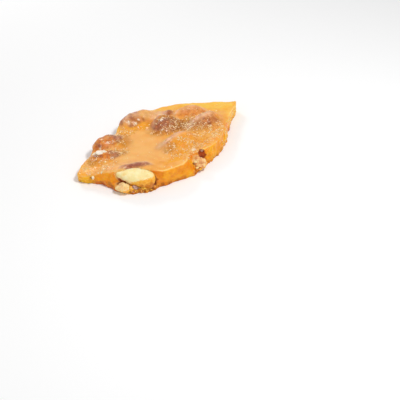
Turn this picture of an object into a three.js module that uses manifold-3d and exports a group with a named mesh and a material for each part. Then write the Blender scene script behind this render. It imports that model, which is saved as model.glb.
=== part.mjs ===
// A broken piece of nut brittle: a poured slab of amber candy with whole nuts set in it, and bare
// kernels where the break ran past them. Millimetres, +Z up. The origin is under the middle of the
// piece, on the flat face that it was poured on. -Y is the thick broken edge with the two bare
// kernels, -X the thin tip and +X, +Y the square corner.
import * as THREE from "three";
import { mergeVertices } from "three/addons/utils/BufferGeometryUtils.js";
import Module from "manifold-3d";

const wasm = await Module();
wasm.setup();

// ---- Driving dimensions -----------------------------------------------------------------------

const THICK = { middle: 6.9, front: 8.0, tip: 4.0, back: 5.4 }; // the candy alone, between nuts
const FRONT_RISE = { from: -13.3, to: -27.3 }; // Y where the slab thickens to the front
const TIP_FALL = { from: -15.7, to: -34.7 }; // X where it thins to the left tip
const BACK_FALL = { from: 0.7, to: 30.7 }; // Y where it thins to the back edge
const POOL = { x: -10.7, y: -7.3, radius: 13, depth: 0.6 }; // the smooth hollow between the nuts
const WAVES = { height: 0.14, lengthX: 11, lengthY: 8 }; // the slow unevenness of the poured face

const MOUND_SKIRT = 3.0; // how far past a nut the candy climbs towards it
const SOCKET_GAP = 0.3; // between a nut and the candy
const OUTLINE_STEP = 2.3; // spacing of points along the break
const SHOULDER = { inset: 1.0, drop: 0.45 }; // the melted rim round the top
const CRAG = 0.28; // the relief of the broken walls
const WALL_ROWS = [0, 0.1, 0.4, 0.72, 1]; // shares of the height at the rim
const LEAN_CURVE = 1.4; // above 1, a leaning wall stands upright at its foot
const FOOT_INSET = 0.35; // the foot's worn corner
const TOP_RINGS = 13; // rings of points from the rim in to RING_CENTRE
const RING_CENTRE = { x: 1.3, y: 0.7 };

// The corners of the break at the table, anticlockwise from the left tip. The rim stands `lean`
// outside the foot, and the stretch to the next corner bulges by `bow`.
const BREAK_CORNERS = [
  { x: -35.1, y: -24.1, lean: 0.4, bow: 0.3 },
  { x: -32.6, y: -26.4, lean: 0.6, bow: 0.2 },
  { x: -25.5, y: -27.5, lean: -0.2, bow: -0.2 },
  { x: -19.1, y: -31.3, lean: -4.0, bow: 0.2 },
  { x: -15.3, y: -33.2, lean: -7.4, bow: 0.2 },
  { x: -6.7, y: -32.9, lean: -8.4, bow: 0.2 },
  { x: -2.3, y: -30.9, lean: -4.6, bow: 0 },
  { x: 1.5, y: -29.3, lean: -0.6, bow: 0.2 },
  { x: 8.7, y: -24.9, lean: -0.2, bow: 0.2 },
  { x: 13.9, y: -21.7, lean: -2.0, bow: 0.2 },
  { x: 17.3, y: -17.1, lean: -4.6, bow: 0 },
  { x: 20.9, y: -11.7, lean: -1.6, bow: 0.3 },
  { x: 27.1, y: -4.3, lean: -0.4, bow: 0.6 },
  { x: 30.7, y: 9.1, lean: -0.6, bow: -0.4 },
  { x: 32.5, y: 17.7, lean: -0.8, bow: -0.6 },
  { x: 35.3, y: 29.7, lean: -0.6, bow: 0.2 },
  { x: 35.1, y: 34.6, lean: 0, bow: 0.2 },
  { x: 8.3, y: 32.5, lean: -0.2, bow: 0.9 },
  { x: -4.5, y: 24.7, lean: 0, bow: 0.3 },
  { x: -14.1, y: 16.9, lean: 0.3, bow: 0.9 },
  { x: -20.3, y: 8.5, lean: 0.2, bow: -0.6 },
  { x: -23.9, y: 1.5, lean: 0.2, bow: 0.6 },
  { x: -30.1, y: -7.7, lean: 0, bow: -0.3 },
  { x: -33.5, y: -15.9, lean: 0.3, bow: 0.2 },
];

// Where each nut lies: its middle, its length, width and height, its heading from +X and how far it
// dips towards that heading, in degrees. Its crown stands `bare` above the candy that climbs round
// it; one with none lies in the broken wall, clear of the upper face.
const NUTS = [
  { name: "nut_left_back", at: [-23.7, -3.9, 5.6], size: [14.4, 8.6, 7.8], heading: 213, dip: 3, bare: 0.9 },
  { name: "nut_left_front", at: [-23.7, -14.1, 4.7], size: [12.4, 7.4, 6.8], heading: 8, dip: 2, bare: 0.8 },
  { name: "nut_back_left", at: [-12.5, 15.5, 5.3], size: [18.4, 10.0, 8.4], heading: 227, dip: 1, bare: 0.6 },
  { name: "nut_centre", at: [1.9, 11.1, 5.8], size: [14.4, 9.2, 8.0], heading: 218, dip: -2, bare: 0.8 },
  { name: "nut_centre_tip", at: [2.6, 20.7, 5.6], size: [5.2, 4.6, 4.8], heading: 14, dip: 0, bare: 0.8 },
  { name: "nut_front_mound", at: [8.5, -4.1, 5.4], size: [17.0, 10.2, 7.8], heading: 32, dip: 0, bare: 0.3 },
  { name: "nut_back", at: [13.2, 21.7, 4.7], size: [14.0, 8.2, 7.0], heading: 16, dip: 0, bare: 0.4 },
  { name: "nut_right", at: [20.1, 13.5, 5.3], size: [17.2, 9.2, 7.8], heading: 34, dip: 0, bare: 0.4 },
  { name: "kernel_right", at: [17.2, -14.7, 3.7], size: [7.0, 5.0, 5.2], heading: -34, dip: 6, bare: null },
  { name: "kernel_front", at: [-10.0, -27.9, 5.0], size: [17.2, 8.6, 7.4], heading: -5, dip: 9, bare: 0.3 },
  { name: "kernel_low", at: [-15.4, -32.3, 2.6], size: [6.6, 4.8, 4.0], heading: -24, dip: 0, bare: null },
];

// The empty skin above the kernel in the right-hand wall.
const SKIN_CUP = { at: [18.7, -11.7, 6.6], size: [5.0, 5.0, 3.8], heading: -34, dip: 0 };

const LOOKS = {
  candy: { color: 0xe9a33c, roughness: 0.35, metalness: 0 },
  skin: { color: 0x9a5636, roughness: 0.4, metalness: 0 },
  kernel: { color: 0xf6dfa2, roughness: 0.55, metalness: 0 },
};

// ---- Solids to and from manifold-3d -----------------------------------------------------------

function solidOf(geometry) {
  const bare = new THREE.BufferGeometry().setAttribute("position", geometry.getAttribute("position").clone());
  if (geometry.index) bare.setIndex(geometry.index.clone());
  const merged = mergeVertices(bare, 1e-4);
  return new wasm.Manifold(
    new wasm.Mesh({
      numProp: 3,
      vertProperties: merged.getAttribute("position").array,
      triVerts: new Uint32Array(merged.index.array),
    }),
  );
}

function geometryOf(solid) {
  const { vertProperties, triVerts } = solid.getMesh();
  const geometry = new THREE.BufferGeometry();
  geometry.setAttribute("position", new THREE.BufferAttribute(vertProperties, 3));
  geometry.setIndex(new THREE.BufferAttribute(triVerts, 1));
  geometry.computeVertexNormals();
  return geometry;
}

// ---- Nuts -------------------------------------------------------------------------------------

// A shelled nut lying along X: fuller at one end, with a small beak at the other and the shallow
// groove where its two halves meet.
function kernelGeometry([length, width, height], grow = 0) {
  const FULLER = 0.13;
  const GROOVE = 0.05;
  const BEAK = 0.07;
  const geometry = new THREE.SphereGeometry(1, 16, 10);
  geometry.rotateZ(Math.PI / 2);
  const at = geometry.getAttribute("position");
  for (let i = 0; i < at.count; i++) {
    const along = at.getX(i);
    const side = at.getY(i);
    const up = at.getZ(i);
    const groove = 1 - GROOVE * Math.exp(-((side / 0.2) ** 2)) * (1 - along * along);
    const girth = (1 + FULLER * along) * groove;
    const beak = BEAK * Math.exp(-(((along + 1) / 0.12) ** 2));
    at.setXYZ(
      i,
      (along - beak) * (length / 2 + grow),
      side * girth * (width / 2 + grow),
      up * girth * (height / 2 + grow),
    );
  }
  return geometry;
}

function placeNut(object, nut) {
  object.position.set(...nut.at);
  object.rotation.set(
    0,
    THREE.MathUtils.degToRad(nut.dip),
    THREE.MathUtils.degToRad(nut.heading),
    "ZYX",
  );
  object.updateMatrix();
  return object;
}

function nutMesh(nut) {
  const looks = nut.name.startsWith("kernel") ? LOOKS.kernel : LOOKS.skin;
  const mesh = new THREE.Mesh(kernelGeometry(nut.size), new THREE.MeshStandardMaterial(looks));
  mesh.name = nut.name;
  return placeNut(mesh, nut);
}

function socket(nut) {
  const placed = placeNut(new THREE.Object3D(), nut);
  return solidOf(kernelGeometry(nut.size, SOCKET_GAP).applyMatrix4(placed.matrix));
}

// ---- The candy's upper face -------------------------------------------------------------------

// 0 before `from` and 1 past `to`, whichever way they lie.
function ramp({ from, to }, value) {
  return THREE.MathUtils.smoothstep((value - from) / (to - from), 0, 1);
}

// The candy's thickness before any nut lifts it.
function levelAt(x, y) {
  const front = (THICK.front - THICK.middle) * ramp(FRONT_RISE, y);
  const back = (THICK.middle - THICK.back) * ramp(BACK_FALL, y);
  const hollow = Math.min(1, Math.hypot(x - POOL.x, y - POOL.y) / POOL.radius);
  const pool = POOL.depth * (1 - hollow ** 2) ** 2;
  const level = THREE.MathUtils.lerp(THICK.middle + front - back - pool, THICK.tip, ramp(TIP_FALL, x));
  const wave = Math.sin((2 * Math.PI * x) / WAVES.lengthX) * Math.sin((2 * Math.PI * y) / WAVES.lengthY);
  return level + WAVES.height * wave;
}

// How far the candy climbs round one nut: up to its crown less `bare`, from nothing at the skirt.
function moundAt({ at, size, heading, bare }, x, y, level) {
  const turn = THREE.MathUtils.degToRad(heading);
  const dx = x - at[0];
  const dy = y - at[1];
  const along = (dx * Math.cos(turn) + dy * Math.sin(turn)) / (size[0] / 2 + MOUND_SKIRT);
  const across = (dy * Math.cos(turn) - dx * Math.sin(turn)) / (size[1] / 2 + MOUND_SKIRT);
  const share = Math.min(1, Math.hypot(along, across));
  return (at[2] + size[2] / 2 - bare - level) * (1 - share ** 3) ** 2;
}

// The upper face. Neighbouring mounds run together instead of meeting in a crease.
function topAt(x, y) {
  const level = levelAt(x, y);
  const lifting = NUTS.filter((nut) => nut.bare !== null);
  return level + Math.cbrt(lifting.reduce((sum, nut) => sum + moundAt(nut, x, y, level) ** 3, 0));
}

// ---- The slab ---------------------------------------------------------------------------------

// Points along the foot of the break, each with its outward normal, lean and distance along it.
function breakOutline() {
  const points = [];
  let run = 0;
  BREAK_CORNERS.forEach((corner, i) => {
    const next = BREAK_CORNERS[(i + 1) % BREAK_CORNERS.length];
    const a = new THREE.Vector2(corner.x, corner.y);
    const way = new THREE.Vector2(next.x, next.y).sub(a);
    const out = new THREE.Vector2(way.y, -way.x).normalize();
    const steps = Math.max(1, Math.round(way.length() / OUTLINE_STEP));
    for (let k = 0; k < steps; k++) {
      const t = k / steps;
      const bulge = corner.bow * 4 * t * (1 - t);
      const at = a.clone().addScaledVector(way, t).addScaledVector(out, bulge);
      points.push({ at, lean: THREE.MathUtils.lerp(corner.lean, next.lean, t), run: run + way.length() * t });
    }
    run += way.length();
  });
  points.forEach((point, i) => {
    const before = points.at(i - 1).at;
    const after = points[(i + 1) % points.length].at;
    point.out = new THREE.Vector2(after.y - before.y, before.x - after.x).normalize();
  });
  return points;
}

// How far the broken wall stands out of its ruled face, at a distance along it and a share of its height.
function cragAt(run, share) {
  return CRAG * (Math.sin(0.55 * run + 3.1 * share) + 0.7 * Math.sin(1.27 * run - 4.3 * share + 1));
}

// Joins rings of equal length into a closed skin, from the middle of the foot to the middle of the
// top. Each four-sided patch is split along its shorter diagonal.
function skin(rings, first, last) {
  const count = rings[0].length;
  const vertices = [first, ...rings.flat(), last];
  const index = [];
  const at = (ring, k) => 1 + ring * count + (k % count);
  const apart = (i, j) => vertices[i].distanceTo(vertices[j]);
  for (let k = 0; k < count; k++) {
    index.push(0, at(0, k + 1), at(0, k));
    for (let ring = 0; ring + 1 < rings.length; ring++) {
      const [a, b, c, d] = [at(ring, k), at(ring, k + 1), at(ring + 1, k + 1), at(ring + 1, k)];
      index.push(...(apart(a, c) < apart(b, d) ? [a, b, c, a, c, d] : [a, b, d, b, c, d]));
    }
    index.push(at(rings.length - 1, k), at(rings.length - 1, k + 1), vertices.length - 1);
  }
  return new THREE.BufferGeometry().setFromPoints(vertices).setIndex(index);
}

function slabGeometry() {
  const outline = breakOutline();
  const centre = new THREE.Vector2(RING_CENTRE.x, RING_CENTRE.y);
  const towardsCentre = (from, share) => centre.clone().lerp(from, share);
  const raised = (flat, z) => new THREE.Vector3(flat.x, flat.y, z);

  const rims = outline.map(({ at, out, lean }) => at.clone().addScaledVector(out, lean));
  const rimHeights = rims.map((rim) => topAt(rim.x, rim.y) - SHOULDER.drop);
  const footRings = [0.35, 0.7].map((share) =>
    outline.map(({ at }) => raised(towardsCentre(at, share), 0)),
  );
  const wallRings = WALL_ROWS.map((share) =>
    outline.map(({ at, out, lean, run }, k) => {
      const relief = share === 0 ? -FOOT_INSET : cragAt(run, share);
      const reach = lean * share ** LEAN_CURVE + relief;
      return raised(at.clone().addScaledVector(out, reach), rimHeights[k] * share);
    }),
  );
  const shoulderRing = rims.map((rim) => {
    const inner = towardsCentre(rim, 1 - SHOULDER.inset / rim.distanceTo(centre));
    return raised(inner, topAt(inner.x, inner.y));
  });
  const topRings = Array.from({ length: TOP_RINGS }, (_, ring) =>
    shoulderRing.map((edge) => {
      const inner = towardsCentre(new THREE.Vector2(edge.x, edge.y), 1 - (ring + 1) / (TOP_RINGS + 1));
      return raised(inner, topAt(inner.x, inner.y));
    }),
  );
  return skin(
    [...footRings, ...wallRings, shoulderRing, ...topRings],
    raised(centre, 0),
    raised(centre, topAt(centre.x, centre.y)),
  );
}

function slabMesh() {
  const hollows = [...NUTS, SKIN_CUP];
  const solid = hollows.reduce((slab, hollow) => slab.subtract(socket(hollow)), solidOf(slabGeometry()));
  const mesh = new THREE.Mesh(geometryOf(solid), new THREE.MeshStandardMaterial(LOOKS.candy));
  mesh.name = "candy_slab";
  return mesh;
}

// ---- The piece --------------------------------------------------------------------------------

const brittle = new THREE.Group();
brittle.add(slabMesh(), ...NUTS.map(nutMesh));

export default brittle;
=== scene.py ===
"""A broken piece of nut brittle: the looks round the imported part.

Shapes are worked out in millimetres and scaled to metres when a mesh is made. The candy is a field
of distances to its surface, positive inside, turned into a mesh by surface nets.
"""

import math

import bpy
import numpy as np
from mathutils import Euler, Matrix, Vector


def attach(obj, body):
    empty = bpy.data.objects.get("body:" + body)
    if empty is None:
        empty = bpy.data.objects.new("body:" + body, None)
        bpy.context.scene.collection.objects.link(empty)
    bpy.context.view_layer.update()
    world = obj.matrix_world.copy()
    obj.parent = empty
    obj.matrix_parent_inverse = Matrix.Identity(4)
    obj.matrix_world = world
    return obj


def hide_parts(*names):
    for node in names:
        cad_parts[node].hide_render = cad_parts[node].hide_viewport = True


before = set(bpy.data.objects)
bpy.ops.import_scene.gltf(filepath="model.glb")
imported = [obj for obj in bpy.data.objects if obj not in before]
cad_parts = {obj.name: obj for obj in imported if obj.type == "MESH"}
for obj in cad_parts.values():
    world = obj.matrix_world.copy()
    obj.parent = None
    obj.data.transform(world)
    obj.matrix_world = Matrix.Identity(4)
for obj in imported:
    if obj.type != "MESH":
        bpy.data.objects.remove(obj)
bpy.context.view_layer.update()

MM = 0.001

# ---- The part's own measures ----

# The corners of the break at the foot, anticlockwise from the left tip: x, y, how far the rim
# stands outside the foot, and the bulge of the stretch to the next corner.
BREAK_CORNERS = [
    (-35.9, -24.5, 0.6, 0.3), (-32.8, -25.4, 1, 0.2), (-25.7, -26.4, 0.3, -0.2),
    (-19.1, -31.3, -4, 0.2), (-15.3, -33.2, -7.4, 0.2), (-6.7, -32.9, -8.4, 0.2),
    (-2.3, -30.2, -4.3, 0), (1.5, -28.3, -0.5, 0.2), (8.7, -24.1, -0.6, 0.2),
    (13.9, -21.6, -3.3, 0.2), (17.3, -17.1, -6, 0), (20.9, -11.3, -2.6, 0.3),
    (26.5, -3.7, -1.2, 0.6), (30.7, 9.1, -1.3, -0.4), (31.9, 17.7, -0.5, -0.6),
    (34.9, 29.7, -0.4, 0.2), (35.1, 34.6, 0, 0.2), (8.3, 32.5, -0.2, 0.9), (-5.2, 26.2, 0, 0.3),
    (-14.1, 16.9, 0.3, 0.9), (-20.3, 8.5, 0.2, -0.6), (-23.9, 1.5, 0.2, 0.6),
    (-30.5, -7.6, 0, -0.3), (-33.9, -15.8, 0.3, 0.2),
]
# The spacing of points along it, how the lean grows with height, and how far a mound spreads.
OUTLINE_STEP = 1.2
LEAN_CURVE = 1.4
MOUND_SKIRT = 3.0
# The candy's thickness in the middle and at the left tip, what the front adds and the back takes
# off, the hollow in the poured face, and its waves.
MIDDLE_LEVEL, TIP_LEVEL = 6.9, 4.0
FRONT_RISE, BACK_FALL = 1.1, 1.5
HOLLOW_AT, HOLLOW_REACH, HOLLOW_DEPTH = (-10.7, -7.3), 13, 0.6
WAVE_HEIGHT, WAVE_LONG, WAVE_WIDE = 0.14, 11, 8
# The smooth pool in the face: middle, and reach along x and y.
POOL_AT, POOL_REACH = (-8.5, -8.5), (14, 14.5)

# name: (middle, size, heading, dip, bare, film, wander, skin, orange, dark side, sheen, spread).
# bare is how far the crown stands above the candy's mound, film how thick the candy is over it,
# skin how strongly the nut shows, orange its warmth, dark side the heading towards which it turns
# violet brown, sheen the pinkish sheen painted there, and spread how far the colour carries
# outside the nut.
NUTS = {
    "nut_left_back": (
        (-23.7, -3.9, 5.6), (14.4, 8.6, 7.8), 213, 3, 0.9, 0.02, 0.42, 0.95, 0.7, 60, 0.2, 1.3),
    "nut_left_front": (
        (-23.7, -14.1, 4.7), (12.4, 7.4, 6.8), 8, 2, 0.8, 0.02, 0.30, 1, 1, 15, 0.2, 1.2),
    "nut_back_left": (
        (-12.5, 15.5, 5.3), (18.4, 10, 8.4), 227, 1, 0.6, 0.10, 0.40, 0.8, 0.25, 190, 0.5, 1.3),
    "nut_centre": (
        (1.9, 11.1, 5.8), (14.4, 9.2, 8), 218, -2, 0.8, 0.06, 0.34, 1, 0.15, 150, 0.3, 1.1),
    "nut_centre_tip": (
        (2.6, 20.7, 5.6), (5.2, 4.6, 4.8), 14, 0, 0.8, 0.12, 0.2, 1, 0.1, 150, 0, 0.5),
    "nut_front_mound": (
        (8.5, -4.1, 5.4), (17, 10.2, 7.8), 32, 0, 0.3, 0.45, 0.15, 0.45, 1, None, 0, 1.2),
    "nut_back": (
        (13.2, 21.7, 4.7), (14, 8.2, 7), 16, 0, 0.4, 0.25, 0.2, 0.7, 0.8, None, 0, 1.3),
    "nut_right": (
        (20.1, 13.5, 5.3), (17.2, 9.2, 7.8), 34, 0, 0.4, 0.22, 0.2, 0.8, 0.45, 152, 0, 1.3),
}
# The same, as far as wander. The candy ends inside the kernels' surface, so the film is negative.
KERNELS = {
    "kernel_right": ((17.2, -14.7, 3.7), (7, 5, 5.2), -34, 6, None, -1, 0.5),
    "kernel_front": ((-10, -27.9, 5), (17.2, 8.6, 7.4), -5, 9, 0.3, -1.3, 0.5),
    "kernel_low": ((-15.4, -32.3, 2.6), (6.6, 4.8, 4), -24, 0, None, -1.3, 0.4),
}
# The hollow scrap of skin above the right kernel: middle, size, heading, dip.
SKIN_CUP = ((18.8, -10.9, 5.2), (3.6, 3, 4.6), -34, -25)

# The planes that cut each kernel: the way each faces, and its reach in half sizes.
KERNEL_CUTS = {
    "kernel_right": [((-0.5, -0.5, 0.6), 0.68), ((0.6, -0.6, 0.3), 0.72),
                     ((0.1, -0.5, -0.8), 0.74), ((0.2, 0.1, 0.9), 0.78)],
    "kernel_front": [((0.02, -0.42, 0.90), 0.86), ((-0.66, -0.60, -0.30), 0.88),
                     ((-0.75, 0.20, 0.62), 0.86)],
    "kernel_low": [((-0.4, -0.6, 0.7), 0.74), ((0.7, -0.5, 0.4), 0.7),
                   ((0.1, -0.8, -0.6), 0.8), ((-0.9, 0.1, 0.3), 0.8)],
}
# name: (relief, tan, blunt, roast line, rise). blunt is how square the full end is, roast line how
# high above the middle the browner lower side begins, partly roast and partly painted shade, and
# rise how that climbs to the right.
KERNEL_LOOKS = {
    "kernel_right": (0.9, 1, 0, -2.6, 0.1),
    "kernel_front": (0.4, 0, 0.9, -2.1, 0.24),
    "kernel_low": (0.9, 0.6, 0, -1.5, 0.2),
}
SKIN_RELIEF = 0.12
NUT_SEED, KERNEL_SEED = 200, 400

# Patches on the plan: x, y, half length, half width, heading, strength.
# Where the poured face is sugary and grainy.
SUGARY = [
    (-27.5, -19, 10, 9, 30, 0.65), (-19, -8.5, 5, 7, 20, 0.8), (-15.5, 5, 6.5, 3.2, 35, 1),
    (8.5, 10, 7.5, 6, 35, 1), (1, 7.2, 6, 3.4, 38, 0.8), (12, -8.5, 10, 6, 35, 0.8),
    (21, 5, 9, 6.5, 40, 0.9), (13, 16, 6, 2.6, 20, 0.7),
]
# Where the nut skins have stained the candy brown.
STAINED = [
    (6.5, 10.6, 8.5, 4.6, 25, 1), (0.5, 8, 6.5, 5.6, 38, 0.7), (13, 11, 5.5, 3, 40, 0.8),
    (20, 9.5, 7, 2.8, 36, 0.4), (-27, -15.5, 5, 2.5, 10, 0.35), (-18.5, -12.5, 4.2, 2.8, 20, 0.55),
    (-17, -2.5, 4.2, 4.4, 30, 0.45), (0.8, -7.4, 4, 2.6, 50, 0.4), (-4.5, 12.5, 3, 3, 30, 0.3),
    (3.6, -9.8, 3.6, 2.4, 38, 0.45), (16, 8.6, 4.5, 3, 34, 0.55), (2.8, 20, 2.8, 2.4, 14, 0.7),
]
# Where the candy is clearer amber, with the light through it painted as a brighter glow.
CLEAR_GLOW = [
    (-33, -26, 4.5, 3, -20, 1), (30, 2, 4, 9, -15, 0.9), (5, -26, 7, 2.2, 25, 0.35),
    (-35, -22, 1.8, 3, 70, 0.7), (-27.5, -22.5, 3.5, 2, 20, 0.8), (36, 28, 2.6, 9, 0, 1),
    (24, -8, 6, 4, 45, 0.6), (-26.8, -20.8, 4, 0.9, 35, 0.8), (-29.8, -19.4, 2.6, 0.8, 60, 0.7),
    (-23.2, -19.6, 3.5, 0.8, 20, 0.7), (-21, -23, 3, 0.7, 30, 0.6), (-7.5, 10, 4.6, 2.8, 35, 1),
    (-13.5, 6.2, 2.6, 1.3, 35, 0.7), (6.6, -18.3, 4.8, 1.8, 38, 0.9),
    (11, -10.6, 4.6, 1.8, 40, 0.6), (10, -6, 6.5, 3.8, 34, 0.85), (13, -21.8, 3, 1.6, 40, 0.9),
    (19, 3, 4, 2.5, 36, 0.3), (17.5, -1.5, 6, 2, 38, 0.35), (-24, -22, 3, 1.6, 20, 0.6),
    (-17.5, -5, 3.6, 3, 30, 0.8), (-16, 6, 4.6, 3, 35, 0.9), (4, 2.6, 3.5, 1.6, 40, 0.5),
    (9.6, 17.3, 3.6, 1.5, 20, 0.6),
]
# Where the face sinks between mounds.
VALLEYS = [
    (7.5, 6, 9, 2.6, 36, 1), (12.5, 11, 5, 2.4, 40, 1), (-3.5, 3.5, 6, 2.2, 50, 0.6),
    (-4, 16.5, 5, 2, 45, 0.8), (-21, 3, 3.5, 2, 60, 0.8), (8, 17.5, 5, 1.6, 20, 0.8),
    (-17.5, -9, 4, 2, 30, 0.5),
]
# Where the candy has cracked away from a kernel.
CRACKS = [
    (-2.2, -26.6, 2.2, 4.6, 8, 1), (-13.6, -31.6, 5.2, 1.4, -28, 1),
    (19.5, -16.2, 1.2, 3, 20, 0.8),
]
# Where the candy stands higher than its mounds, in millimetres.
LIFTS = [
    (9.6, 1.2, 6.5, 2.8, 38, 0.8), (20.6, 17.4, 7.5, 2.8, 34, 0.8), (12, 24.4, 7, 2.8, 22, 0.9),
    (0.4, 13.4, 5.5, 2.6, 38, 1), (-23.4, -0.4, 2.2, 1.6, 20, 0.5),
    (-6.6, 21.6, 4.6, 2.4, 36, 0.8),
]
# Small pits in the face, brown inside.
PITS = [
    (22.1, 10.3, 0.9, 0.7, 20, 1), (19.4, 12.4, 0.6, 0.5, 60, 0.7),
    (-19.4, -9.6, 0.7, 0.5, 10, 0.6), (15.2, -5.6, 0.7, 0.5, 40, 0.5),
]
# Where sugary candy hides the nuts' skins.
COVERED = [
    (7.9, 13, 4.6, 6, 38, 1), (1.5, 5.6, 5, 1.6, 38, 0.6), (-16.4, 8.3, 2, 1.6, 30, 0.8),
    (-7, 17.6, 3.6, 3.2, 40, 0.75), (10.5, -5.5, 6, 3.4, 32, 0.6), (27, 17.4, 3.2, 3.6, 34, 0.85),
]
# Where the highlight painted along the rim is strongest.
RIM_LIGHTS = [
    (3.5, -26.6, 5.5, 2.4, 15, 1), (10.6, -20.5, 6.5, 2.6, 50, 1), (19.5, -7.5, 4, 2.5, 15, 0.9),
    (33, 24, 2, 9, 0, 0.9), (-21, -27.6, 3, 1.6, 10, 0.6),
]
# Where a pinkish sheen is painted over the face.
SHEEN_PATCHES = [
    (-2.6, 20.4, 5, 3.4, 40, 0.8), (-7.5, 17.5, 3, 2, 40, 0.5), (5.2, -3, 7, 2, 40, 0.7),
    (-14, -21, 5, 1.6, 25, 0.4), (19, 15.2, 7, 2.4, 34, 0.75), (-11.5, 17.5, 5, 3, 45, 0.45),
    (12, 23, 5, 2.4, 16, 0.4), (16.5, 25.2, 4.5, 1.6, 10, 0.7),
]
# Small white highlights painted into the face's colour.
GLINTS = [
    (0.5, 10.4, 2, 0.45, 34, 0.9), (-15.1, 10.1, 1.1, 0.8, -50, 0.9),
    (-12.8, 9.9, 1.4, 0.7, 10, 0.9), (-10.6, 12.4, 0.7, 0.5, 30, 0.8),
    (-23.4, -6.8, 0.6, 0.4, 20, 0.8), (-21.2, -5.6, 0.5, 0.4, 0, 0.8),
    (22.6, 9.2, 0.5, 0.4, 0, 0.7), (-26.5, -8.5, 0.45, 1, 0, 1), (0.6, 5.5, 0.6, 0.6, 0, 0.9),
    (-20.9, -16.2, 0.7, 0.4, 0, 0.6), (-28.4, -17, 0.6, 0.5, 0, 0.5),
    (14.8, -9.4, 1, 0.8, 30, 0.8), (-14.6, -25.9, 0.9, 0.4, 30, 0.6),
]
# Brown spots on the walls of the break: x, y, z, radius, strength.
SPOTS = [
    (-29.1, -26.6, 3, 1, 0.9), (-29.8, -26.4, 2.2, 0.8, 0.5), (-21.2, -29.1, 2.5, 1, 0.35),
    (-19.9, -30.1, 1.6, 1, 0.45), (-25.2, -27.2, 1.4, 0.9, 0.35), (-0.5, -28.8, 4.4, 0.7, 0.7),
    (-1.4, -29.6, 2.8, 0.8, 1), (1.9, -28.3, 0.7, 1.2, 0.45), (4.9, -26.8, 0.7, 1.3, 0.4),
    (8.3, -24.6, 0.6, 1.1, 0.4), (11.3, -22.7, 1.1, 0.9, 0.35), (14.9, -16.6, 4.3, 0.7, 0.8),
    (18.8, -17.4, 1.2, 1.1, 0.9), (27.6, -1, 1.2, 1.4, 0.3), (30.8, 13, 1.4, 1.6, 0.3),
]
# Crests of the mounds: points on the plan from left to right, the breadth and strength of the
# darker band on their right, and the sheen painted along them.
CRESTS = [
    ([(-0.4, -9.4), (0.3, -7.9), (1.2, -6.5), (2.5, -4.5), (4.7, -2.1), (6.9, -0.1), (10, 1.7),
      (13.1, 2.2)], 3.2, 0.65, 1),
    ([(11.6, 7.6), (12.2, 9.3), (14.4, 12.7), (17.6, 15.9), (20.9, 18.4), (24.2, 20),
      (26, 20.6)], 3.6, 0.7, 1),
    ([(5, 17.6), (5.5, 19), (7.3, 22.2), (10.1, 24.5), (12.9, 26.4), (16.2, 26.9)],
     1.3, 0.2, 0.8),
    ([(-18.2, -27), (-16.2, -24.4), (-13.8, -22.9), (-11, -21.3), (-8.2, -20.2), (-5.8, -20.2),
      (-3.5, -21.6), (-1.8, -23.4)], 7, 1, 0.8),
    ([(-3.2, 6.5), (-3.4, 8.7), (-3.6, 11), (-2.4, 12.6), (0.1, 14.3), (2.9, 14.9), (5.5, 15.4)],
     1.8, 0.8, 0.7),
]
# Where light from behind brightens the rim and the thin candy.
BRIGHT = [
    (24, 30.5, 17, 4.5, 4, 0.9), (1, 27.5, 9, 3, 36, 0.6), (-34, -25.6, 4.5, 3, -20, 0.6),
    (-6.5, 24.4, 6, 1.8, 40, 0.6), (33, 25, 3.5, 9, 0, 0.7), (13.6, 2.9, 1, 0.8, 0, 1),
    (15.4, 1.9, 1.2, 0.6, -10, 0.9), (-6, 19, 7, 2.4, 42, 0.7), (-21, 6, 3.5, 2.5, 60, 0.6),
    (-33, -20, 4, 5, 30, 0.4),
]


def ease(lo, hi, v):
    t = np.clip((v - lo) / (hi - lo), 0, 1)
    return t * t * (3 - 2 * t)


def turned(dx, dy, heading):
    """A step on the plan, as seen along a heading and across it."""
    turn = math.radians(heading)
    return dx * math.cos(turn) + dy * math.sin(turn), dy * math.cos(turn) - dx * math.sin(turn)


def level_at(x, y):
    """The candy's thickness before any nut lifts it."""
    front = FRONT_RISE * ease(13.3, 27.3, -y)
    back = BACK_FALL * ease(0.7, 30.7, y)
    hollow = np.minimum(1, np.hypot(x - HOLLOW_AT[0], y - HOLLOW_AT[1]) / HOLLOW_REACH)
    middle = MIDDLE_LEVEL + front - back - HOLLOW_DEPTH * (1 - hollow**2) ** 2
    level = middle + (TIP_LEVEL - middle) * ease(15.7, 34.7, -x)
    waves = WAVE_HEIGHT * np.sin(2 * np.pi * x / WAVE_LONG) * np.sin(2 * np.pi * y / WAVE_WIDE)
    return level + waves


def top_at(x, y):
    """The upper face, with the mounds that the candy makes round the nuts."""
    level = level_at(x, y)
    rises = 0
    for middle, size, heading, _, bare, *_ in (*NUTS.values(), KERNELS["kernel_front"]):
        along, across = turned(x - middle[0], y - middle[1], heading)
        along = along / (size[0] / 2 + MOUND_SKIRT)
        across = across / (size[1] / 2 + MOUND_SKIRT)
        share = np.minimum(1, np.hypot(along, across))
        rise = (middle[2] + size[2] / 2 - bare - level) * (1 - share**3) ** 2
        rises = rises + rise**3
    return level + np.cbrt(rises)


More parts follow.
